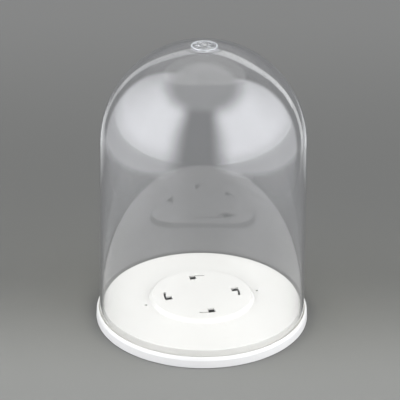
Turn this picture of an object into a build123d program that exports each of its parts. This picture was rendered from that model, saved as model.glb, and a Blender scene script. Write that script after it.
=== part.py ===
from build123d import *
import math
import os

# Humidity dome tray: a clear bell-shaped dome with a rotary vent in its crown,
# standing in the groove of a round white tray on four rubber feet.
# Millimetres, +Z up. Origin: centre of the footprint, on the surface it stands on.
# The tray's two pin holes lie on the X axis.

# ---------------------------------------------------------------- dimensions
FOOT_OUT = 0.5            # how far the feet stand below the tray's rim
Z0 = FOOT_OUT             # height of the tray's rim bottom

# tray, heights above the rim bottom
TRAY_R = 105.0            # outer wall at the lip's shoulder
TRAY_R_FOOT = 105.45      # outer wall at the rim bottom
TRAY_SHOULDER_Z = 7.7     # height of the shoulder, where the lip starts to lean in
LIP_TOP_R = 103.6         # outer edge of the lip top
LIP_Z = 10.7              # lip top
LIP_R_IN = 102.5          # lip inner wall, guides the dome
LIP_FILLET_OUT = 1.0
SHOULDER_FILLET = 2.0
LIP_FILLET_IN = 0.4
GROOVE_Z = 7.5            # groove floor, where the dome stands
DECK_R = 98.15            # deck edge
DECK_Z = 16.3             # deck height at its edge
DECK_FILLET = 0.8
BOSS_FOOT_R = 52.2        # foot of the central boss
BOSS_FOOT_Z = 18.1
BOSS_TOP_R = 49.6         # top edge of the central boss
BOSS_Z = 22.5             # flat top of the boss
BOSS_TOP_FILLET = 1.6
BOSS_FOOT_FILLET = 1.6
WALL = 2.0                # wall of the tray
BOSS_PLATE = 1.9          # thickness of the boss plate

# bayonet windows in the boss plate
WIN_R_IN = 30.7           # radial span of a window
WIN_R_OUT = 38.3
WIN_HALF_W = 3.4          # half the tangential width
ARM_R_IN = 36.1           # inner radius of the locking arm, which follows the outer edge
ARM_END_DEG = 19.4        # far end of the arm, from the centre line of the window

# pin holes
PIN_R = 57.5
PIN_HOLE_R = 1.4
PIN_BOSS_R = 3.2
PIN_BOSS_DROP = 5.0

# underside ribs
RIB_T = 1.3
RIB_BOTTOM = 11.1         # lower edge of the radial ribs, above the rim bottom
RIB_COUNT = 8
RIB_ANGLE0 = 22.5
RING_RIB_R = 50.6         # ring rib under the boss wall, inner radius
RING_RIB_T = 1.5

# feet and their posts
FOOT_AT_R = 88.0
FOOT_R = 6.0
FOOT_POCKET = 2.5         # depth of the pocket the foot is pressed into
POST_R = 8.0
FOOT_CHAMFER = 0.5

# dome
DOME_WALL = 2.0
DOME_SPHERE_R = 99.4      # outer radius of the hemisphere
DOME_SPHERE_Z = 188.3     # its centre, above the rim bottom
DOME_FOOT_R = 102.0      # outer radius at the dome's lower edge
DOME_EDGE_FILLET = 0.5

# crown seat, ring and vent
SEAT_Z = 286.0            # flat seat of the shutter, above the rim bottom
SEAT_UNDER_Z = 284.3      # flat underside of the crown
RING_R_OUT = 12.7
RING_R_IN = 11.2
RING_TOP_Z = 287.6
RING_FILLET = 0.6
LUG_R = 10.0              # stop lug reaches in to here
LUG_HALF_DEG = 5.0
SHUTTER_R = 10.9
SHUTTER_T = 1.2
SHUTTER_NOTCH_R = 9.7
VENT_OPEN_DEG = 60.0      # travel of the shutter
PORT_R = 1.6              # vent ports
PORT_PCD_R = 6.9
PORT_COUNT = 3
PIVOT_BORE_R = 2.1
RIVET_SHANK_R = 2.05
RIVET_HEAD_R = 3.5
RIVET_HEAD_Z = 0.55       # head seat, above the shutter's underside
RIVET_HEAD_T = 0.75
WASHER_R = 5.0
WASHER_T = 0.8
WASHER_GAP = 0.1          # running gap between washer and crown
TAIL_R = 2.9
TAIL_T = 0.8

os.makedirs("parts", exist_ok=True)


def z(h):
    """height above the rim bottom -> height above the standing surface"""
    return h + Z0


def drum(r, z_low, z_high, x=0.0, y=0.0, r_in=None):
    """cylinder or tube between two heights above the standing surface"""
    c = Pos(x, y, (z_low + z_high) / 2) * Cylinder(r, z_high - z_low)
    if r_in is not None:
        c = c - Pos(x, y, (z_low + z_high) / 2) * Cylinder(r_in, (z_high - z_low) + 2)
    return c


def slab(x0, x1, y0, y1, z_low, z_high):
    return Pos((x0 + x1) / 2, (y0 + y1) / 2, (z_low + z_high) / 2) * Box(x1 - x0, y1 - y0, z_high - z_low)


def save(shape, node):
    shape.label = node
    export_step(shape, os.path.join("parts", node + ".step"))
    print(node, "volume mm3", round(shape.volume, 2), "valid", shape.is_valid)


# ---------------------------------------------------------------- tray
def tray_shell():
    """half section of the tray's shell, upper skin then lower skin, turned about Z"""
    under_edge = DECK_Z - WALL
    with BuildPart() as bp:
        with BuildSketch(Plane.XZ):
            with BuildLine():
                Polyline(
                    (0, z(BOSS_Z)),
                    (BOSS_TOP_R, z(BOSS_Z)),
                    (BOSS_FOOT_R, z(BOSS_FOOT_Z)),
                    (DECK_R, z(DECK_Z)),
                    (DECK_R, z(GROOVE_Z)),
                    (LIP_R_IN, z(GROOVE_Z)),
                    (LIP_R_IN, z(LIP_Z)),
                    (LIP_TOP_R, z(LIP_Z)),
                    (TRAY_R, z(TRAY_SHOULDER_Z)),
                    (TRAY_R_FOOT, z(0)),
                    (TRAY_R_FOOT - WALL, z(0)),
                    (TRAY_R - WALL, z(GROOVE_Z - WALL)),
                    (DECK_R - WALL, z(GROOVE_Z - WALL)),
                    (DECK_R - WALL, z(under_edge)),
                    (BOSS_FOOT_R - 1.4, z(BOSS_FOOT_Z - WALL)),
                    (BOSS_TOP_R - 1.6, z(BOSS_Z - BOSS_PLATE)),
                    (0, z(BOSS_Z - BOSS_PLATE)),
                    close=True,
                )
            make_face()
        revolve(axis=Axis.Z)
    return bp.part


def circle_edges(part, r, h, tol=0.02):
    """full-circle edges about Z of a given radius and height above the rim bottom"""
    out = []
    for e in part.edges():
        bb = e.bounding_box()
        if abs(bb.min.Z - z(h)) < tol and abs(bb.max.Z - z(h)) < tol and abs(bb.max.X - r) < tol:
            out.append(e)
    return out


tray = tray_shell()
for r, h, rad in (
    (LIP_TOP_R, LIP_Z, LIP_FILLET_OUT),
    (TRAY_R, TRAY_SHOULDER_Z, SHOULDER_FILLET),
    (LIP_R_IN, LIP_Z, LIP_FILLET_IN),
    (DECK_R, DECK_Z, DECK_FILLET),
    (BOSS_TOP_R, BOSS_Z, BOSS_TOP_FILLET),
    (BOSS_FOOT_R, BOSS_FOOT_Z, BOSS_FOOT_FILLET),
    (TRAY_R_FOOT, 0, 0.3),
):
    edges = circle_edges(tray, r, h)
    tray = fillet(edges, rad)

# the ribs run up into the deck plate, so they join it
ribs = []
for k in range(RIB_COUNT):
    a = RIB_ANGLE0 + 360.0 / RIB_COUNT * k
    pts = [
        (RING_RIB_R + RING_RIB_T / 2, RIB_BOTTOM),
        (DECK_R - WALL / 2, RIB_BOTTOM),
        (DECK_R - WALL / 2, DECK_Z - WALL / 2),
        (BOSS_FOOT_R, BOSS_FOOT_Z - WALL / 2),
        (RING_RIB_R + RING_RIB_T / 2, BOSS_FOOT_Z - WALL / 2),
    ]
    with BuildPart() as rb:
        with BuildSketch(Plane.XZ):
            with BuildLine():
                Polyline(*[(r, z(h)) for r, h in pts], close=True)
            make_face()
        extrude(amount=RIB_T / 2, both=True)
    ribs.append(Rot(0, 0, a) * rb.part)

ring_rib = drum(RING_RIB_R + RING_RIB_T, z(RIB_BOTTOM), z(BOSS_FOOT_Z - WALL / 2), r_in=RING_RIB_R)

posts = []
foot_xy = []
for a in (-45, -135, 135, 45):
    x, y = FOOT_AT_R * math.cos(math.radians(a)), FOOT_AT_R * math.sin(math.radians(a))
    foot_xy.append((x, y))
    posts.append(drum(POST_R, z(0.0), z(DECK_Z - WALL / 2), x, y))

pin_bosses = [drum(PIN_BOSS_R, z(BOSS_FOOT_Z - WALL - PIN_BOSS_DROP), z(BOSS_FOOT_Z - WALL), s * PIN_R, 0) for s in (-1, 1)]

for piece in [ring_rib] + ribs + posts + pin_bosses:
    tray = tray + piece

# pockets of the feet
for x, y in foot_xy:
    tray = tray - drum(FOOT_R, z(0) - 1.0, z(FOOT_POCKET), x, y)
# pin holes, right through
for s in (-1, 1):
    tray = tray - drum(PIN_HOLE_R, z(0), z(BOSS_Z), s * PIN_R, 0)


def sector(r_in, r_out, a0, a1, z_low, z_high):
    """annular sector between two angles in degrees"""

    def at(r, a):
        return (r * math.cos(math.radians(a)), r * math.sin(math.radians(a)))

    am = (a0 + a1) / 2
    with BuildPart() as sp:
        with BuildSketch(Plane.XY.offset(z_low)):
            with BuildLine():
                Line(at(r_in, a0), at(r_out, a0))
                ThreePointArc(at(r_out, a0), at(r_out, am), at(r_out, a1))
                Line(at(r_out, a1), at(r_in, a1))
                ThreePointArc(at(r_in, a1), at(r_in, am), at(r_in, a0))
            make_face()
        extrude(amount=z_high - z_low)
    return sp.part


# bayonet windows: a window with parallel sides and round ends, and a narrow arm
# that follows its outer edge, clockwise seen from above
def window_cutter():
    lo, hi = z(BOSS_Z - 6.0), z(BOSS_Z + 6.0)
    window = drum(WIN_R_OUT, lo, hi, r_in=WIN_R_IN) & slab(0, WIN_R_OUT + 1, -WIN_HALF_W, WIN_HALF_W, lo, hi)
    arm = sector(ARM_R_IN, WIN_R_OUT, -ARM_END_DEG, 0, lo, hi)
    return window + arm


for k in range(4):
    tray = tray - Rot(0, 0, 90 * k) * window_cutter()

tray = tray.solids()[0] if len(tray.solids()) == 1 else tray
save(tray, "base_tray")

# ---------------------------------------------------------------- feet
for (x, y), node in zip(foot_xy, ("foot_front_right", "foot_front_left", "foot_rear_left", "foot_rear_right")):
    foot = drum(FOOT_R, 0.0, z(FOOT_POCKET), x, y)
    low = [e for e in foot.edges() if e.bounding_box().max.Z < 0.01]
    foot = chamfer(low, FOOT_CHAMFER)
    save(foot, node)

# ---------------------------------------------------------------- dome
# The straight wall passes the foot point and meets the hemisphere tangentially.
dz = DOME_SPHERE_Z - GROOVE_Z
dist = math.hypot(DOME_FOOT_R, dz)
phi = math.atan2(-dz, DOME_FOOT_R)  # direction from the sphere centre to the foot point
beta = math.acos(DOME_SPHERE_R / dist)
theta = phi + beta  # direction of the tangent point, and outward normal of the straight wall
t_out = (DOME_SPHERE_R * math.cos(theta), DOME_SPHERE_Z + DOME_SPHERE_R * math.sin(theta))
inner_r = DOME_SPHERE_R - DOME_WALL
t_in = (inner_r * math.cos(theta), DOME_SPHERE_Z + inner_r * math.sin(theta))
# inner wall line runs parallel; find its radius at the foot
wall_dir = ((DOME_FOOT_R - t_out[0]) / (GROOVE_Z - t_out[1]))
foot_in_r = t_in[0] + wall_dir * (GROOVE_Z - t_in[1])
print("dome taper deg", round(math.degrees(theta), 3), "tangent point", [round(v, 2) for v in t_out], "inner foot r", round(foot_in_r, 2))


def on_arc(r, ang):
    return (r * math.cos(ang), z(DOME_SPHERE_Z) + r * math.sin(ang))


mid_out = (theta + math.pi / 2) / 2
under_r = math.sqrt(inner_r ** 2 - (SEAT_UNDER_Z - DOME_SPHERE_Z) ** 2)
under_ang = math.atan2(SEAT_UNDER_Z - DOME_SPHERE_Z, under_r)
mid_in = (theta + under_ang) / 2
with BuildPart() as db:
    with BuildSketch(Plane.XZ):
        with BuildLine():
            Line((DOME_FOOT_R, z(GROOVE_Z)), (t_out[0], z(t_out[1])))
            ThreePointArc((t_out[0], z(t_out[1])), on_arc(DOME_SPHERE_R, mid_out), (0, z(DOME_SPHERE_Z + DOME_SPHERE_R)))
            Line((0, z(DOME_SPHERE_Z + DOME_SPHERE_R)), (0, z(SEAT_UNDER_Z)))
            Line((0, z(SEAT_UNDER_Z)), (under_r, z(SEAT_UNDER_Z)))
            ThreePointArc((under_r, z(SEAT_UNDER_Z)), on_arc(inner_r, mid_in), (t_in[0], z(t_in[1])))
            Line((t_in[0], z(t_in[1])), (foot_in_r, z(GROOVE_Z)))
            Line((foot_in_r, z(GROOVE_Z)), (DOME_FOOT_R, z(GROOVE_Z)))
        make_face()
    revolve(axis=Axis.Z)
dome = db.part
for r in (DOME_FOOT_R, foot_in_r):
    dome = fillet(circle_edges(dome, r, GROOVE_Z), DOME_EDGE_FILLET)

# crown ring, seat and stop lug
dome = dome + drum(RING_R_OUT, z(SEAT_UNDER_Z + 1.0), z(RING_TOP_Z))
dome = dome - drum(RING_R_IN, z(SEAT_Z), z(RING_TOP_Z + 3))
dome = fillet(circle_edges(dome, RING_R_OUT, RING_TOP_Z) + circle_edges(dome, RING_R_IN, RING_TOP_Z), RING_FILLET)


dome = dome + sector(LUG_R, RING_R_IN + 0.4, -90 - LUG_HALF_DEG, -90 + LUG_HALF_DEG, z(SEAT_Z) - 0.3, z(SEAT_Z + SHUTTER_T))
# pivot bore and vent ports
dome = dome - drum(PIVOT_BORE_R, z(SEAT_UNDER_Z) - 2, z(RING_TOP_Z) + 2)
for k in range(PORT_COUNT):
    a = math.radians(90 + 360 / PORT_COUNT * k)
    dome = dome - drum(PORT_R, z(SEAT_UNDER_Z) - 2, z(RING_TOP_Z) + 2, PORT_PCD_R * math.cos(a), PORT_PCD_R * math.sin(a))
save(dome, "dome")

# ---------------------------------------------------------------- vent shutter
# The rest position is shut: its ports stand midway between the ports of the crown and meet them after the full turn.
shutter = drum(SHUTTER_R, z(SEAT_Z), z(SEAT_Z + SHUTTER_T), r_in=PIVOT_BORE_R)
shutter = fillet([e for e in shutter.edges() if e.bounding_box().min.Z > z(SEAT_Z + SHUTTER_T) - 0.01 and abs(e.bounding_box().max.X - SHUTTER_R) < 0.02], 0.25)
notch = sector(SHUTTER_NOTCH_R, SHUTTER_R + 2, -90 - LUG_HALF_DEG - VENT_OPEN_DEG - 1.0, -90 + LUG_HALF_DEG + 1.0, z(SEAT_Z) - 1, z(SEAT_Z + SHUTTER_T) + 1)
shutter = shutter - notch
for k in range(PORT_COUNT):
    a = math.radians(90 - VENT_OPEN_DEG + 360 / PORT_COUNT * k)
    shutter = shutter - drum(PORT_R, z(SEAT_Z) - 1, z(SEAT_Z + SHUTTER_T) + 2, PORT_PCD_R * math.cos(a), PORT_PCD_R * math.sin(a))
shutter = shutter - drum(RIVET_HEAD_R + 0.15, z(SEAT_Z + RIVET_HEAD_Z), z(SEAT_Z + SHUTTER_T) + 1)
# two finger ridges
for s in (-1, 1):
    ridge = Rot(0, 0, 90) * slab(RIVET_HEAD_R + 0.9, SHUTTER_R - 1.6, -0.45, 0.45, z(SEAT_Z + SHUTTER_T) - 0.3, z(SEAT_Z + SHUTTER_T) + 0.4)
    if s < 0:
        ridge = Rot(0, 0, 180) * ridge
    shutter = shutter + ridge
save(shutter, "vent_shutter")

# ---------------------------------------------------------------- rivet and washer
head_low = z(SEAT_Z + RIVET_HEAD_Z)
head = drum(RIVET_HEAD_R, head_low, head_low + RIVET_HEAD_T)
head = fillet([e for e in head.edges() if e.bounding_box().min.Z > head_low + RIVET_HEAD_T - 0.01], 0.4)
washer_top = z(SEAT_UNDER_Z) - WASHER_GAP
washer_low = washer_top - WASHER_T
shank = drum(RIVET_SHANK_R, washer_low - 0.2, head_low + 0.2)
tail = drum(TAIL_R, washer_low - TAIL_T, washer_low)
tail = chamfer([e for e in tail.edges() if e.bounding_box().max.Z < washer_low - TAIL_T + 0.01], 0.35)
rivet = head + shank + tail
save(rivet, "vent_rivet")

washer = drum(WASHER_R, washer_low, washer_top, r_in=RIVET_SHANK_R)
washer = fillet([e for e in washer.edges() if abs(e.bounding_box().max.X - WASHER_R) < 0.02 and e.bounding_box().max.Z < washer_low + 0.01], 0.25)
save(washer, "vent_washer")
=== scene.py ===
import math

import bpy
import bmesh
from mathutils import Matrix, Vector


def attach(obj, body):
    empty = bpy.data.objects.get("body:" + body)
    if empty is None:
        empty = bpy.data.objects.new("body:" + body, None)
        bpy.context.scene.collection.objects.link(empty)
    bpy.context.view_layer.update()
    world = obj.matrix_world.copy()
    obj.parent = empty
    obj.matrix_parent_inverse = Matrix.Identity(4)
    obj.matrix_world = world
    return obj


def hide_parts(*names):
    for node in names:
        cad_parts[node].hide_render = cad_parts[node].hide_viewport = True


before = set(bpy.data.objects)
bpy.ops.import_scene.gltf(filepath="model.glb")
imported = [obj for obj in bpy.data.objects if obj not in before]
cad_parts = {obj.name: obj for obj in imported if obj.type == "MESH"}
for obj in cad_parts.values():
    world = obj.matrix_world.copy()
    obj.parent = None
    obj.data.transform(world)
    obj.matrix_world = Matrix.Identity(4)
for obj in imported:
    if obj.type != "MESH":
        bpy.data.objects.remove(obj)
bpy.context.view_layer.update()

MM = 0.001
Z0 = 0.5                 # the feet stand this far below the tray's rim, mm
TURN = -16.1             # the photograph's view direction, turned about Z from the row's +Y, degrees
scene = bpy.context.scene

# =====================================================================================
# mesh helpers
# =====================================================================================


def arc_profile(points, step_deg=9.0, run=None):
    """Closed or open (r, z, fillet) corners -> (r, z) polyline with rounded corners.

    points: list of (r, z, fillet radius). The list is closed.
    run: straight runs longer than this are divided, so that the lathe's faces stay regular."""
    n = len(points)
    out = []
    for i in range(n):
        p0 = Vector(points[i - 1][:2])
        p1 = Vector(points[i][:2])
        p2 = Vector(points[(i + 1) % n][:2])
        rad = points[i][2]
        if rad <= 0:
            out.append((p1.x, p1.y))
            continue
        a = (p0 - p1).normalized()
        b = (p2 - p1).normalized()
        ang = math.acos(max(-1.0, min(1.0, a.dot(b))))
        if ang > math.radians(179.5):
            out.append((p1.x, p1.y))
            continue
        t = rad / math.tan(ang / 2)
        t = min(t, (p0 - p1).length * 0.49, (p2 - p1).length * 0.49)
        rr = t * math.tan(ang / 2)
        c = p1 + (a + b).normalized() * (rr / math.sin(ang / 2))
        s = p1 + a * t
        e = p1 + b * t
        v0, v1 = s - c, e - c
        a0 = math.atan2(v0.y, v0.x)
        da = math.atan2(v1.y, v1.x) - a0
        while da > math.pi:
            da -= 2 * math.pi
        while da < -math.pi:
            da += 2 * math.pi
        k = max(2, int(math.ceil(abs(math.degrees(da)) / step_deg)))
        for j in range(k + 1):
            w = a0 + da * j / k
            out.append((c.x + rr * math.cos(w), c.y + rr * math.sin(w)))
    if run:
        fine = []
        for i, p in enumerate(out):
            q = out[(i + 1) % len(out)]
            fine.append(p)
            d = math.dist(p, q)
            k = int(d // run)
            for j in range(1, k + 1):
                w = j / (k + 1)
                fine.append((p[0] + (q[0] - p[0]) * w, p[1] + (q[1] - p[1]) * w))
        out = fine
    return out


def new_object(name, bm, body, replaces=()):
    me = bpy.data.meshes.new(name)
    bm.to_mesh(me)
    bm.free()
    ob = bpy.data.objects.new(name, me)
    scene.collection.objects.link(ob)
    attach(ob, body)
    if replaces:
        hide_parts(*replaces)
    return ob


def lathe_bm(profile, segments, x=0.0, y=0.0, phase=0.0):
    """Closed profile of (r, z) mm, turned about Z at (x, y). Points on the axis share one vertex."""
    bm = bmesh.new()
    rings = []
    for r, zz in profile:
        if r < 1e-6:
            rings.append([bm.verts.new((x * MM, y * MM, zz * MM))])
        else:
            rings.append([
                bm.verts.new(((x + r * math.cos(phase + 2 * math.pi * k / segments)) * MM,
                              (y + r * math.sin(phase + 2 * math.pi * k / segments)) * MM, zz * MM))
                for k in range(segments)])
    n = len(rings)
    for i in range(n):
        a, b = rings[i], rings[(i + 1) % n]
        if len(a) == 1 and len(b) == 1:
            continue
        for k in range(segments):
            k2 = (k + 1) % segments
            if len(a) == 1:
                bm.faces.new((a[0], b[k2], b[k]))
            elif len(b) == 1:
                bm.faces.new((a[k], a[k2], b[0]))
            else:
                bm.faces.new((a[k], a[k2], b[k2], b[k]))
    bmesh.ops.recalc_face_normals(bm, faces=bm.faces)
    return bm


def prism_bm(outline, z_low, z_high):
    """Closed outline of (x, y) mm between two heights."""
    bm = bmesh.new()
    lo = [bm.verts.new((px * MM, py * MM, z_low * MM)) for px, py in outline]
    hi = [bm.verts.new((px * MM, py * MM, z_high * MM)) for px, py in outline]
    n = len(outline)
    bm.faces.new(list(reversed(lo)))
    bm.faces.new(hi)
    for i in range(n):
        j = (i + 1) % n
        bm.faces.new((lo[i], lo[j], hi[j], hi[i]))
    bmesh.ops.recalc_face_normals(bm, faces=bm.faces)
    return bm


def rod_outline(x, y, r, n=40):
    return [(x + r * math.cos(2 * math.pi * k / n), y + r * math.sin(2 * math.pi * k / n)) for k in range(n)]


def turned(outline, deg):
    c, s = math.cos(math.radians(deg)), math.sin(math.radians(deg))
    return [(px * c - py * s, px * s + py * c) for px, py in outline]


def temp(bm, name="tool"):
    me = bpy.data.meshes.new(name)
    bm.to_mesh(me)
    bm.free()
    ob = bpy.data.objects.new(name, me)
    return ob


def combine(ob, tools, operation):
    """Boolean of ob with every tool, applied to the mesh; the tools are removed."""
    col = bpy.data.collections.new("tools")
    scene.collection.children.link(col)
    for t in tools:
        col.objects.link(t)
    m = ob.modifiers.new("join", "BOOLEAN")
    m.operation = operation
    m.operand_type = "COLLECTION"
    m.collection = col
    m.solver = "EXACT"
    dg = bpy.context.evaluated_depsgraph_get()
    me = bpy.data.meshes.new_from_object(ob.evaluated_get(dg))
    ob.modifiers.clear()
    old = ob.data
    ob.data = me
    bpy.data.meshes.remove(old)
    for t in tools:
        d = t.data
        bpy.data.objects.remove(t)
        bpy.data.meshes.remove(d)
    bpy.data.collections.remove(col)
    return ob


def tidy(ob, merge=0.00001):
    bm = bmesh.new()
    bm.from_mesh(ob.data)
    bmesh.ops.remove_doubles(bm, verts=bm.verts, dist=merge)
    bmesh.ops.dissolve_degenerate(bm, edges=bm.edges, dist=merge)
    # points in the middle of one straight edge would leave flat triangles once the faces are split
    bmesh.ops.dissolve_verts(bm, verts=[v for v in bm.verts if len(v.link_edges) == 2])
    bmesh.ops.recalc_face_normals(bm, faces=bm.faces)
    bm.to_mesh(ob.data)
    bm.free()


def smooth(ob, deg=28.0):
    me = ob.data
    me.polygons.foreach_set("use_smooth", [True] * len(me.polygons))
    me.set_sharp_from_angle(angle=math.radians(deg))
    me.update()


# =====================================================================================
# materials: node helpers
# =====================================================================================


class Mat:
    def __init__(self, name):
        self.m = bpy.data.materials.new(name)
        self.m.use_nodes = True
        self.t = self.m.node_tree
        self.t.nodes.clear()
        self.out = self.n("ShaderNodeOutputMaterial")

    def n(self, kind, **values):
        node = self.t.nodes.new(kind)
        for k, v in values.items():
            if k in node.inputs:
                node.inputs[k].default_value = v
            else:
                setattr(node, k, v)
        return node

    def link(self, a, b):
        self.t.links.new(a, b)

    def coords(self):
        return self.n("ShaderNodeTexCoord").outputs["Object"]

    def noise(self, scale, detail=3.0, rough=0.5, vector=None, distortion=0.0):
        n = self.n("ShaderNodeTexNoise")
        n.inputs["Scale"].default_value = scale
        n.inputs["Detail"].default_value = detail
        n.inputs["Roughness"].default_value = rough
        n.inputs["Distortion"].default_value = distortion
        self.link(vector if vector is not None else self.coords(), n.inputs["Vector"])
        return n.outputs["Fac"]

    def remap(self, value, a0, a1, b0, b1):
        n = self.n("ShaderNodeMapRange")
        for i, v in enumerate((a0, a1, b0, b1)):
            n.inputs[i + 1].default_value = v
        self.link(value, n.inputs[0])
        return n.outputs[0]

    def ramp(self, value, stops):
        n = self.n("ShaderNodeValToRGB")
        n.color_ramp.interpolation = "EASE"
        e = n.color_ramp.elements
        while len(e) < len(stops):
            e.new(0.5)
        for el, (pos, col) in zip(e, stops):
            el.position = pos
            el.color = (*col, 1.0)
        self.link(value, n.inputs["Fac"])
        return n.outputs["Color"]

    def math(self, op, a, b=None):
        n = self.n("ShaderNodeMath")
        n.operation = op
        for i, v in enumerate((a, b)):
            if v is None:
                continue
            if isinstance(v, (int, float)):
                n.inputs[i].default_value = v
            else:
                self.link(v, n.inputs[i])
        return n.outputs[0]

    def bump(self, height, distance, strength=1.0, normal=None):
        n = self.n("ShaderNodeBump")
        n.inputs["Strength"].default_value = strength
        n.inputs["Distance"].default_value = distance
        self.link(height, n.inputs["Height"])
        if normal is not None:
            self.link(normal, n.inputs["Normal"])
        return n.outputs["Normal"]

    def principled(self, **values):
        p = self.n("ShaderNodeBsdfPrincipled")
        for k, v in values.items():
            p.inputs[k.replace("_", " ")].default_value = v
        return p

    def surface(self, shader):
        self.link(shader, self.out.inputs["Surface"])
        return self.m


def mat_tray():
    """White moulded plastic: satin gloss, a very fine orange peel, faint flow marks and handling haze."""
    m = Mat("tray_white_plastic")
    p = m.principled(IOR=1.5)
    broad = m.noise(9.0, 2.0, 0.5)
    fine = m.noise(55.0, 4.0, 0.6)
    mixv = m.math("ADD", m.math("MULTIPLY", broad, 0.6), m.math("MULTIPLY", fine, 0.4))
    col = m.ramp(mixv, [(0.30, (0.490, 0.487, 0.484)), (0.52, (0.509, 0.506, 0.502)), (0.75, (0.521, 0.518, 0.513))])
    m.link(col, p.inputs["Base Color"])
    rough = m.remap(m.noise(130.0, 4.0, 0.65), 0.3, 0.7, 0.27, 0.37)
    m.link(rough, p.inputs["Roughness"])
    peel = m.noise(620.0, 2.0, 0.5)
    sink = m.noise(30.0, 1.0, 0.4)
    n1 = m.bump(peel, 0.00002, 0.55)
    n2 = m.bump(sink, 0.0003, 0.12, n1)
    m.link(n2, p.inputs["Normal"])
    return m.surface(p.outputs["BSDF"])


def clear_plastic(name, tint, rough_lo, rough_hi, haze, ior=1.59, frost=0.0, frost_from=None, veil=0.0):
    """Clear moulded plastic with a real wall. Faint roughness clouds and a soft flow bump; lamps shine through it.

    frost: share of white scatter, everywhere or, with frost_from, only above that height (metres).
    veil: the least share of that scatter anywhere, as the slight milkiness of moulded plastic."""
    m = Mat(name)
    g = m.n("ShaderNodeBsdfGlass")
    g.inputs["IOR"].default_value = ior
    tintn = m.ramp(m.noise(6.0, 2.0, 0.5), [(0.35, tuple(c * 0.992 for c in tint)), (0.65, tint)])
    m.link(tintn, g.inputs["Color"])
    clouds = m.noise(22.0, 5.0, 0.6)
    m.link(m.remap(clouds, 0.35, 0.75, rough_lo, rough_hi), g.inputs["Roughness"])
    flow = m.noise(7.0, 2.0, 0.5)
    m.link(m.bump(flow, 0.0006, haze), g.inputs["Normal"])
    body = g.outputs[0]
    if frost > 0:
        d = m.n("ShaderNodeBsdfDiffuse")
        d.inputs["Color"].default_value = (0.87, 0.90, 0.96, 1.0)
        tl = m.n("ShaderNodeBsdfTranslucent")
        tl.inputs["Color"].default_value = (0.87, 0.90, 0.96, 1.0)
        white = m.n("ShaderNodeMixShader")
        white.inputs[0].default_value = 0.5
        m.link(d.outputs[0], white.inputs[1])
        m.link(tl.outputs[0], white.inputs[2])
        share = m.remap(m.noise(260.0, 3.0, 0.6), 0.3, 0.7, frost * 0.8, min(1.0, frost * 1.2))
        if frost_from is not None:
            sep = m.n("ShaderNodeSeparateXYZ")
            m.link(m.coords(), sep.inputs[0])
            share = m.math("MULTIPLY", share, m.remap(sep.outputs["Z"], frost_from, frost_from + 0.0002, 0.0, 1.0))
        share = m.math("MAXIMUM", share, m.remap(clouds, 0.3, 0.7, veil * 0.85, veil * 1.15))
        mf = m.n("ShaderNodeMixShader")
        m.link(share, mf.inputs[0])
        m.link(g.outputs[0], mf.inputs[1])
        m.link(white.outputs[0], mf.inputs[2])
        body = mf.outputs[0]
    t = m.n("ShaderNodeBsdfTransparent")
    t.inputs["Color"].default_value = (1.0, 0.997, 0.966, 1.0)
    path = m.n("ShaderNodeLightPath")
    mix = m.n("ShaderNodeMixShader")
    m.link(m.math("MAXIMUM", path.outputs["Is Shadow Ray"], path.outputs["Is Diffuse Ray"]), mix.inputs[0])
    m.link(body, mix.inputs[1])
    m.link(t.outputs[0], mix.inputs[2])
    return m.surface(mix.outputs[0])


def mat_rubber():
    """Dark grey rubber: matt, finely pitted, with pale dust where it meets the table."""
    m = Mat("foot_rubber")
    p = m.principled(IOR=1.5)
    col = m.ramp(m.noise(240.0, 4.0, 0.6), [(0.30, (0.018, 0.018, 0.019)), (0.55, (0.032, 0.032, 0.033)), (0.80, (0.060, 0.059, 0.058))])
    m.link(col, p.inputs["Base Color"])
    m.link(m.remap(m.noise(400.0, 3.0, 0.6), 0.3, 0.7, 0.62, 0.86), p.inputs["Roughness"])
    m.link(m.bump(m.noise(1400.0, 3.0, 0.6), 0.00003, 0.8), p.inputs["Normal"])
    return m.surface(p.outputs["BSDF"])


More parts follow.
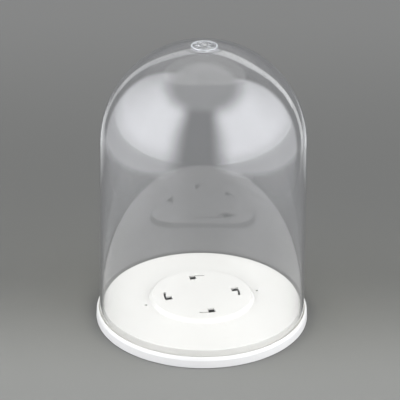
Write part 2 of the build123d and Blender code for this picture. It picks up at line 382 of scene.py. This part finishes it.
def mat_floor():
    """Studio paper: matt grey with painted shade, darker behind the object and lighter again far back, a very soft
    mottle, and a painted reflection: pale to reflection rays on both sides behind the object.
    """
    m = Mat("studio_floor")
    p = m.principled(IOR=1.45, Roughness=0.85)
    p.inputs["Specular IOR Level"].default_value = 0.15
    turn = m.n("ShaderNodeVectorRotate")
    turn.rotation_type = "Z_AXIS"
    turn.inputs["Angle"].default_value = math.radians(-TURN)
    m.link(m.coords(), turn.inputs["Vector"])
    sep = m.n("ShaderNodeSeparateXYZ")
    m.link(turn.outputs[0], sep.inputs[0])
    painted_shade_depth = m.remap(sep.outputs["Y"], -0.45, 1.15, 0.0, 1.0)
    mottle = m.math("MULTIPLY", m.math("SUBTRACT", m.noise(3.0, 2.0, 0.5), 0.5), 0.02)
    # painted shade: the floor's grey falls from the front to a darker band behind the object and rises a little far
    # back, standing in for the light's falloff and the shade behind the object
    grey = m.ramp(m.math("ADD", painted_shade_depth, mottle), [(0.10, (0.160, 0.161, 0.154)), (0.20, (0.158, 0.159, 0.152)), (0.34, (0.092, 0.092, 0.089)), (0.48, (0.088, 0.088, 0.085)), (0.85, (0.111, 0.111, 0.108))])
    aside = m.math("ABSOLUTE", sep.outputs["X"])
    # painted reflection, seen in reflection rays only: a pale colour painted onto the floor on both sides behind the
    # object, which the dome mirrors as a bright surround; and where the floor ends at both sides, reflection rays
    # pass through it to the soft light below
    path = m.n("ShaderNodeLightPath")
    mirror = m.math("MULTIPLY", path.outputs["Is Reflection Ray"], m.math("SUBTRACT", 1.0, path.outputs["Is Diffuse Ray"]))
    spread = m.math("SUBTRACT", aside, m.math("MULTIPLY", m.math("MAXIMUM", sep.outputs["Y"], 0.20), 0.40))
    pale = m.n("ShaderNodeMix")
    pale.data_type = "RGBA"
    behind = m.remap(sep.outputs["Y"], 0.26, 0.42, 0.0, 1.0)
    m.link(m.math("MULTIPLY", m.math("MULTIPLY", m.remap(spread, 0.07, 0.14, 0.0, 1.0), behind), mirror), pale.inputs[0])
    m.link(grey, pale.inputs[6])
    # painted reflection colour, shown to reflection rays only
    pale.inputs[7].default_value = (0.75, 0.755, 0.745, 1.0)
    m.link(pale.outputs[2], p.inputs["Base Color"])
    clear = m.n("ShaderNodeBsdfTransparent")
    mix = m.n("ShaderNodeMixShader")
    m.link(m.math("MULTIPLY", m.remap(aside, 0.31, 0.66, 0.0, 1.0), mirror), mix.inputs[0])
    m.link(p.outputs["BSDF"], mix.inputs[1])
    m.link(clear.outputs[0], mix.inputs[2])
    return m.surface(mix.outputs[0])


MAT_TRAY = mat_tray()
MAT_DOME = clear_plastic("dome_clear_plastic", (0.990, 0.990, 0.999), 0.0, 0.006, 0.02, frost=0.45, frost_from=0.28745, veil=0.006)
MAT_VENT = clear_plastic("vent_clear_plastic", (0.985, 0.988, 0.992), 0.02, 0.08, 0.05, frost=0.05)
MAT_RUBBER = mat_rubber()

# =====================================================================================
# tray
# =====================================================================================
SEG = 288

tray_corners = [
    (0.0, 22.5, 0), (49.6, 22.5, 1.6), (52.2, 18.1, 1.6), (98.15, 16.3, 0.8), (98.15, 7.5, 0.25), (102.5, 7.5, 0.25),
    (102.5, 10.7, 0.4), (103.6, 10.7, 1.0), (105.0, 7.7, 2.0), (105.45, 0.0, 0.3), (103.45, 0.0, 0.35), (103.0, 5.5, 0.4),
    (96.15, 5.5, 0.5), (96.15, 14.3, 0.6), (50.8, 16.1, 0.5), (48.0, 20.6, 0.8), (0.0, 20.6, 0)]
tray_profile = arc_profile([(r, h + Z0, f) for r, h, f in tray_corners], 10.0, 7.0)
tray = new_object("tray", lathe_bm(tray_profile, SEG), "base", ["base_tray"])

# underside: ring rib, radial ribs, foot posts and pin bosses
RIB_LOW = 11.1 + Z0
under = []
under.append(temp(lathe_bm([(50.6, RIB_LOW), (52.1, RIB_LOW), (52.1, 17.1 + Z0), (50.6, 17.1 + Z0)], SEG)))
for k in range(8):
    a = 22.5 + 45 * k
    bm = bmesh.new()
    prof = [(51.35, RIB_LOW), (97.15, RIB_LOW), (97.15, 15.3 + Z0), (52.2, 17.1 + Z0), (51.35, 17.1 + Z0)]
    c, s = math.cos(math.radians(a)), math.sin(math.radians(a))
    sides = []
    for w in (-0.65, 0.65):
        sides.append([bm.verts.new(((r * c - w * s) * MM, (r * s + w * c) * MM, h * MM)) for r, h in prof])
    bm.faces.new(sides[0])
    bm.faces.new(list(reversed(sides[1])))
    for i in range(len(prof)):
        j = (i + 1) % len(prof)
        bm.faces.new((sides[0][j], sides[0][i], sides[1][i], sides[1][j]))
    bmesh.ops.recalc_face_normals(bm, faces=bm.faces)
    under.append(temp(bm))
FEET = []
for a in (-45, -135, 135, 45):
    FEET.append((88.0 * math.cos(math.radians(a)), 88.0 * math.sin(math.radians(a))))
for fx, fy in FEET:
    under.append(temp(lathe_bm(arc_profile([(0.0, Z0, 0), (8.0, Z0, 0.4), (8.0, 15.3 + Z0, 0), (0.0, 15.3 + Z0, 0)], 15.0), 48, fx, fy)))
for s in (-1, 1):
    under.append(temp(lathe_bm(arc_profile([(0.0, 11.1 + Z0, 0), (3.2, 11.1 + Z0, 0.3), (3.2, 16.9 + Z0, 0), (0.0, 16.9 + Z0, 0)], 20.0), 32, s * 57.5, 0)))
combine(tray, under, "UNION")

# pockets, pin holes and bayonet windows
cuts = []
for fx, fy in FEET:
    cuts.append(temp(prism_bm(rod_outline(fx, fy, 6.02, 48), -1.0, 2.5 + Z0)))
for s in (-1, 1):
    cuts.append(temp(prism_bm(rod_outline(s * 57.5, 0, 1.4, 28), 5.0, 25.0)))


def window_outline():
    r0, r1, ra, w, end = 30.7, 38.3, 36.1, 3.4, 19.4
    pts = []
    a_out = math.degrees(math.asin(w / r1))
    a_in = math.degrees(math.asin(w / r0))
    for i in range(9):                       # outer edge, from the window's far side to the arm's end
        a = a_out + (-end - a_out) * i / 8
        pts.append((r1 * math.cos(math.radians(a)), r1 * math.sin(math.radians(a))))
    a_arm = -math.degrees(math.asin(w / ra))
    for i in range(6):                       # arm's inner edge, back to the window
        a = -end + (a_arm + end) * i / 5
        pts.append((ra * math.cos(math.radians(a)), ra * math.sin(math.radians(a))))
    for i in range(5):                       # window's inner edge
        a = -a_in + 2 * a_in * i / 4
        pts.append((r0 * math.cos(math.radians(a)), r0 * math.sin(math.radians(a))))
    return pts


for k in range(4):
    cuts.append(temp(prism_bm(turned(window_outline(), 90 * k), 19.0, 25.0)))
combine(tray, cuts, "DIFFERENCE")
tidy(tray)
smooth(tray)
tray.data.materials.clear()
tray.data.materials.append(MAT_TRAY)

# =====================================================================================
# dome
# =====================================================================================
R_OUT, ZC, R_FOOT, WALL, GROOVE = 99.4, 188.3, 102.0, 2.0, 7.5
R_IN = R_OUT - WALL
dz = ZC - GROOVE
theta = math.atan2(-dz, R_FOOT) + math.acos(R_OUT / math.hypot(R_FOOT, dz))
t_out = (R_OUT * math.cos(theta), ZC + R_OUT * math.sin(theta))
t_in = (R_IN * math.cos(theta), ZC + R_IN * math.sin(theta))
slope = (R_FOOT - t_out[0]) / (GROOVE - t_out[1])
foot_in = t_in[0] + slope * (GROOVE - t_in[1])
SEAT, UNDER, RING_TOP = 286.0, 284.3, 287.6

start = arc_profile([(R_FOOT, GROOVE, 0.5), (t_out[0], t_out[1], 0), (t_in[0], t_in[1], 0), (foot_in, GROOVE, 0.5)], 15.0)
# arc_profile starts at the outer foot's fillet and ends with the inner foot's fillet
prof = []
k_out = next(i for i, p in enumerate(start) if math.dist(p, t_out) < 1e-3)
prof += start[:k_out]
N_WALL = 26
for i in range(1, N_WALL):
    w = i / N_WALL
    prof.append((start[k_out - 1][0] + (t_out[0] - start[k_out - 1][0]) * w, start[k_out - 1][1] + (t_out[1] - start[k_out - 1][1]) * w))
ring_out = 12.7
a_end = math.acos(ring_out / R_OUT)
steps = 58
for i in range(steps + 1):
    w = theta + (a_end - theta) * i / steps
    prof.append((R_OUT * math.cos(w), ZC + R_OUT * math.sin(w)))
# crown ring with rounded top edges, seat, bore, flat underside
crown = arc_profile([(12.7, 285.0, 0), (12.7, RING_TOP, 0.6), (11.2, RING_TOP, 0.6), (11.2, SEAT, 0.15), (2.1, SEAT, 0.1), (2.1, UNDER, 0.1), (2.2, 283.3, 0)], 15.0)
prof += [p for p in crown[1:-1]]
under_r = math.sqrt(R_IN ** 2 - (UNDER - ZC) ** 2)
a0 = math.atan2(UNDER - ZC, under_r)
prof.append((6.5, UNDER))
for i in range(steps + 1):
    w = a0 + (theta - a0) * i / steps
    prof.append((R_IN * math.cos(w), ZC + R_IN * math.sin(w)))
k_in = next(i for i, p in enumerate(start) if math.dist(p, t_in) < 1e-3)
for i in range(1, N_WALL):
    w = i / N_WALL
    prof.append((t_in[0] + (start[k_in + 1][0] - t_in[0]) * w, t_in[1] + (start[k_in + 1][1] - t_in[1]) * w))
prof += start[k_in + 1:]
prof = [(r, h + Z0) for r, h in prof]
dome = new_object("clear_dome", lathe_bm(prof, SEG), "dome", ["dome"])
ports = []
for k in range(3):
    a = math.radians(90 + 120 * k)
    ports.append(temp(prism_bm(rod_outline(6.9 * math.cos(a), 6.9 * math.sin(a), 1.6, 32), 281.0, 293.0)))
lug = []
for a in (-95, -92.5, -90, -87.5, -85):
    lug.append((11.5 * math.cos(math.radians(a)), 11.5 * math.sin(math.radians(a))))
for a in (-85, -87.5, -90, -92.5, -95):
    lug.append((10.0 * math.cos(math.radians(a)), 10.0 * math.sin(math.radians(a))))
combine(dome, [temp(prism_bm(lug, SEAT - 0.4 + Z0, SEAT + 1.2 + Z0))], "UNION")
combine(dome, ports, "DIFFERENCE")
tidy(dome)
smooth(dome)
dome.data.materials.clear()
dome.data.materials.append(MAT_DOME)

# =====================================================================================
# vent: the CAD nodes keep their shape and get their finish
# =====================================================================================


def cad_object(node):
    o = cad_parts[node]
    return o if hasattr(o, "data") else bpy.data.objects[node]


# Each piece is drawn with a hair of air to its neighbours, where the CAD solids touch.
def vent_piece(node, name, shifts):
    """copy of a vent node; vertices within 0.02 mm of a stated height (mm) move by the stated amount (mm)"""
    src = cad_object(node)
    me = src.data.copy()
    me.transform(src.matrix_world)
    for v in me.vertices:
        for h, by in shifts:
            if abs(v.co.z / MM - h) < 0.02:
                v.co.z += by * MM
                break
    ob = bpy.data.objects.new(name, me)
    scene.collection.objects.link(ob)
    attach(ob, "vent")
    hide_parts(node)
    ob.data.materials.clear()
    ob.data.materials.append(MAT_VENT)
    tidy(ob, 0.000001)
    smooth(ob, 25.0)
    return ob


vent_piece("vent_shutter", "vent_disc", [(SEAT + Z0, 0.06)])
vent_piece("vent_rivet", "vent_pin", [(SEAT + Z0 + 0.55, 0.05)])
vent_piece("vent_washer", "vent_collar", [(UNDER + Z0 - 0.9, 0.05)])

# =====================================================================================
# feet
# =====================================================================================
for (fx, fy), node in zip(FEET, ("foot_front_right", "foot_front_left", "foot_rear_left", "foot_rear_right")):
    pad = arc_profile([(0.0, 0.25, 0), (2.3, 0.25, 0.2), (2.8, 0.0, 0.2), (5.5, 0.0, 0.3), (6.0, 0.5, 0.3), (6.0, 2.95, 0.3), (0.0, 2.95, 0)], 15.0)
    foot = new_object(node + "_pad", lathe_bm(pad, 64, fx, fy), "base", [node])
    tidy(foot)
    smooth(foot, 40.0)
    foot.data.materials.clear()
    foot.data.materials.append(MAT_RUBBER)

# =====================================================================================
# studio: floor, lights, world, camera. Everything here is placed in the view's own frame
# (x right, y away from the camera, z up) and turned into the row's frame.
# =====================================================================================
ROT = Matrix.Rotation(math.radians(TURN), 4, "Z")

bm = bmesh.new()
bmesh.ops.create_grid(bm, x_segments=1, y_segments=1, size=12.0)
me = bpy.data.meshes.new("floor")
bm.to_mesh(me)
bm.free()
floor = bpy.data.objects.new("floor", me)
scene.collection.objects.link(floor)
floor.data.materials.append(mat_floor())


class Sky:
    """World brightness built from soft-edged windows in azimuth and elevation, seen from the view's own frame:
    azimuth 0 is towards the camera, 180 is behind the object."""

    def __init__(self, name):
        w = bpy.data.worlds.new(name)
        scene.world = w
        w.use_nodes = True
        self.t = w.node_tree
        self.bg = w.node_tree.nodes["Background"]
        tc = self.t.nodes.new("ShaderNodeTexCoord")
        vr = self.t.nodes.new("ShaderNodeVectorRotate")
        vr.rotation_type = "Z_AXIS"
        vr.inputs["Angle"].default_value = math.radians(-TURN)
        self.t.links.new(tc.outputs["Generated"], vr.inputs["Vector"])
        sep = self.t.nodes.new("ShaderNodeSeparateXYZ")
        self.t.links.new(vr.outputs[0], sep.inputs[0])
        self.z = sep.outputs["Z"]
        self.x = sep.outputs["X"]
        az = self.math("ARCTAN2", sep.outputs["X"], self.math("MULTIPLY", sep.outputs["Y"], -1.0))
        degrees = self.math("MULTIPLY", az, 180.0 / math.pi)
        self.az = self.math("ABSOLUTE", degrees)
        self.lamp = self.math("ABSOLUTE", self.math("ADD", degrees, 6.0))      # the lamps stand a little to the left
        self.rear = self.math("MULTIPLY", self.math("ARCTAN2", sep.outputs["X"], sep.outputs["Y"]), 180.0 / math.pi)
        self.el = self.math("MULTIPLY", self.math("ARCSINE", self.z), 180.0 / math.pi)

    def math(self, op, a, b=None):
        n = self.t.nodes.new("ShaderNodeMath")
        n.operation = op
        for i, v in enumerate((a, b)):
            if v is None:
                continue
            if isinstance(v, (int, float)):
                n.inputs[i].default_value = v
            else:
                self.t.links.new(v, n.inputs[i])
        return n.outputs[0]

    def step(self, value, lo, hi, out_lo=0.0, out_hi=1.0, kind="SMOOTHSTEP"):
        n = self.t.nodes.new("ShaderNodeMapRange")
        n.interpolation_type = kind
        for i, v in enumerate((lo, hi, out_lo, out_hi)):
            n.inputs[i + 1].default_value = v
        self.t.links.new(value, n.inputs[0])
        return n.outputs[0]

    def window(self, value, a, b, c, d):
        """rises over a..b, falls over c..d"""
        return self.math("MULTIPLY", self.step(value, a, b), self.step(value, c, d, 1.0, 0.0))

    def product(self, *values):
        out = values[0]
        for v in values[1:]:
            out = self.math("MULTIPLY", out, v)
        return out

    def total(self, *values):
        out = values[0]
        for v in values[1:]:
            out = self.math("ADD", out, v)
        return out


sky = Sky("studio")
height = sky.total(sky.step(sky.el, -38.0, -15.0, 0.0, 0.47), sky.step(sky.el, -10.0, 14.0, 0.0, 0.53))
# below the horizon only the outer face of a clear wall mirrors it (the floor hides it from every other ray)
below = sky.math("ADD", sky.math("MULTIPLY", sky.math("LESS_THAN", sky.el, 0.0), 0.45), 1.0)
side = sky.product(sky.window(sky.lamp, 12.0, 42.0, 124.0, 132.0), sky.step(sky.az, 67.0, 170.0, 1.0, 0.0),
                   height, below, sky.step(sky.el, 46.0, 66.0, 1.0, 0.0), 5.0)
# a thin bright arch behind the object, round the edge of the dark backdrop
across = sky.math("DIVIDE", sky.math("SUBTRACT", sky.rear, 5.5), 38.5)
upward = sky.math("DIVIDE", sky.math("ADD", sky.el, 25.0), 62.0)
ring = sky.math("POWER", sky.total(sky.product(across, across, across, across), sky.product(upward, upward, upward, upward)), 0.25)
arch = sky.product(sky.window(ring, 0.84, 0.90, 1.03, 1.09), sky.step(across, -1.0, 1.0, 0.75, 1.6))
rest = sky.total(sky.step(sky.el, 53.0, 64.0, 0.20, 0.95), sky.step(sky.el, -30.0, -8.0, 0.15, 0.0))
white = sky.total(arch, rest)
tone = sky.t.nodes.new("ShaderNodeCombineColor")
sky.t.links.new(sky.total(sky.math("MULTIPLY", side, 0.975), sky.math("MULTIPLY", white, 0.985)), tone.inputs[0])
sky.t.links.new(sky.total(sky.math("MULTIPLY", side, 0.985), white), tone.inputs[1])
sky.t.links.new(sky.total(sky.math("MULTIPLY", side, 1.015), sky.math("MULTIPLY", white, 0.990)), tone.inputs[2])
sky.t.links.new(tone.outputs[0], sky.bg.inputs["Color"])
sky.bg.inputs["Strength"].default_value = 1.0

cam_data = bpy.data.cameras.new("camera")
cam_data.sensor_fit = "HORIZONTAL"
cam_data.sensor_width = 36.0
cam_data.lens = 1809.437 / 400.0 * 36.0
cam_data.clip_start = 0.1
cam_data.clip_end = 60.0
cam = bpy.data.objects.new("camera", cam_data)
scene.collection.objects.link(cam)
pitch, roll = math.radians(26.44), math.radians(0.53)
fwd = Vector((0, math.cos(pitch), -math.sin(pitch)))
right = Vector((1, 0, 0))
up = Vector((0, math.sin(pitch), math.cos(pitch)))
r2 = right * math.cos(roll) + up * math.sin(roll)
u2 = up * math.cos(roll) - right * math.sin(roll)
rot = Matrix((r2, u2, -fwd)).transposed().to_4x4()
pos = Matrix.Translation(Vector((-2.801, -1575.056, 909.559 + Z0)) * MM)
cam.matrix_world = ROT @ pos @ rot
scene.camera = cam

scene.view_settings.view_transform = "Standard"
scene.view_settings.look = "None"
scene.view_settings.exposure = 0.0
scene.view_settings.gamma = 1.0
